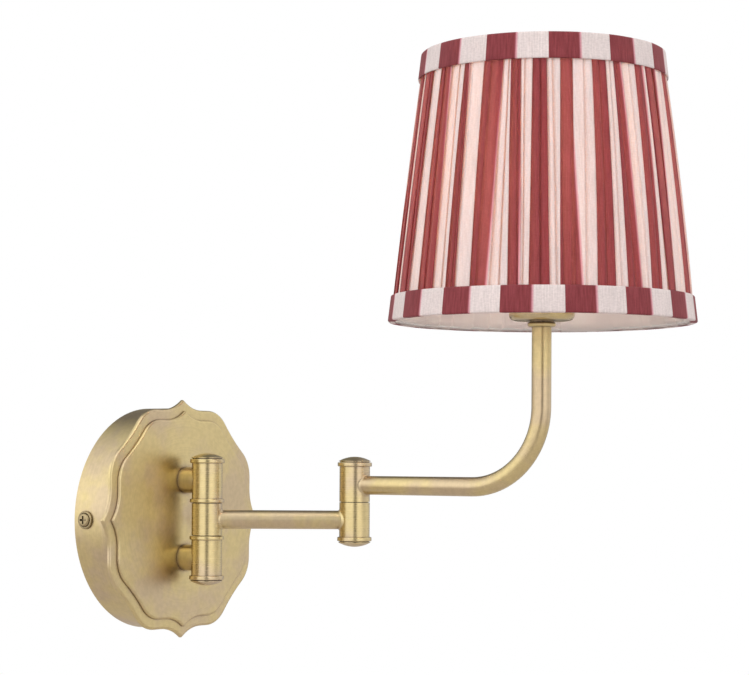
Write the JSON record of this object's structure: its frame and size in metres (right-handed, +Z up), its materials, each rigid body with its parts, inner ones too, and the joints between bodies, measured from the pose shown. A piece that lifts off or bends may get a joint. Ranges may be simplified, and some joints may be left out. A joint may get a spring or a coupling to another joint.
{
  "type": "swing arm wall sconce",
  "caption": "Wall light with a scalloped round backplate, a two-part swing arm on vertical hinges, and a tapered striped gathered fabric shade.",
  "frame": {"origin": "centre of the two wall fixing slots, on the wall face of the bracket", "axes": "+Y into the wall, -Y out of it, +X to the right for someone who faces the wall, +Z up"},
  "size_m": [0.1907, 0.2963, 0.3023],
  "materials": {
    "antique_brass": "brushed, with an aged lacquer",
    "zinc_steel": "zinc plated",
    "screw_brass": "aged",
    "block_plastic": "matte",
    "contact_brass": "bright",
    "flex_sheath": "matte",
    "friction_fibre": "matte",
    "holder_plastic": "satin",
    "lamp_cap_metal": "plated",
    "lamp_glass": "opal",
    "lamp_filament": "coated",
    "frame_wire": "powder coated",
    "stripe_cover_fabric": "woven cotton, gathered",
    "stripe_band_fabric": "woven cotton",
    "lining_fabric": "woven, pleated"
  },
  "bodies": {
    "wall_mount": {"backplate_drum": "antique_brass", "base_flex": "flex_sheath", "bracket_ears": "zinc_steel", "earth_screw": "screw_brass", "earth_washer": "zinc_steel", "hub_barrel_bottom": "antique_brass", "hub_barrel_top": "antique_brass", "hub_cap_bottom": "antique_brass", "hub_cap_top": "antique_brass", "hub_end_ring_bottom": "antique_brass", "hub_end_ring_top": "antique_brass", "hub_friction_washers": "friction_fibre", "hub_pin": "zinc_steel", "hub_pin_nuts": "zinc_steel", "hub_ring_lower": "antique_brass", "hub_ring_upper": "antique_brass", "hub_spring_washers": "zinc_steel", "post_bottom": "antique_brass", "post_nuts": "zinc_steel", "post_top": "antique_brass", "post_washers": "zinc_steel", "scalloped_panel": "antique_brass", "scalloped_plate": "antique_brass", "side_screw_collars": "screw_brass", "side_screws": "screw_brass", "terminal_block": "block_plastic", "terminal_screws": "contact_brass", "terminal_sleeves": "contact_brass", "wall_bracket": "zinc_steel"},
    "inner_arm": {"swing_barrel": "antique_brass", "inner_arm_tube": "antique_brass", "elbow_barrel_lower": "antique_brass", "elbow_pin": "zinc_steel", "elbow_pin_nuts": "zinc_steel", "elbow_friction_washers": "friction_fibre", "elbow_ring_bottom": "antique_brass", "elbow_cap_bottom": "antique_brass", "inner_arm_flex": "flex_sheath"},
    "outer_arm": {"elbow_barrel_upper": "antique_brass", "elbow_ring_top": "antique_brass", "elbow_cap_top": "antique_brass", "outer_arm_tube": "antique_brass", "outer_arm_flex": "flex_sheath", "stem_collar": "antique_brass", "dish": "antique_brass", "lampholder_base": "holder_plastic", "lampholder_core": "holder_plastic", "lampholder_shell": "holder_plastic", "lampholder_contacts": "contact_brass", "shade_nuts": "holder_plastic", "bulb_cap": "lamp_cap_metal", "bulb_glass": "lamp_glass", "bulb_filaments": "lamp_filament", "shade_carrier": "frame_wire", "frame_rings": "frame_wire", "frame_struts": "frame_wire", "shade_cover": "stripe_cover_fabric", "shade_lining": "lining_fabric", "shade_band_bottom": "stripe_band_fabric", "shade_band_top": "stripe_band_fabric"}
  },
  "joints": [
    {"name": "hub_swing", "type": "hinge", "parent": "wall_mount", "child": "inner_arm", "pos_m": [0, -0.0405, 0], "axis": [0, 0, 1], "range_deg": [-128, 52]},
    {"name": "elbow_swing", "type": "hinge", "parent": "inner_arm", "child": "outer_arm", "pos_m": [0.04864, -0.10275, 0.0187], "axis": [0, 0, 1], "range_deg": [-52, 128]}
  ]
}
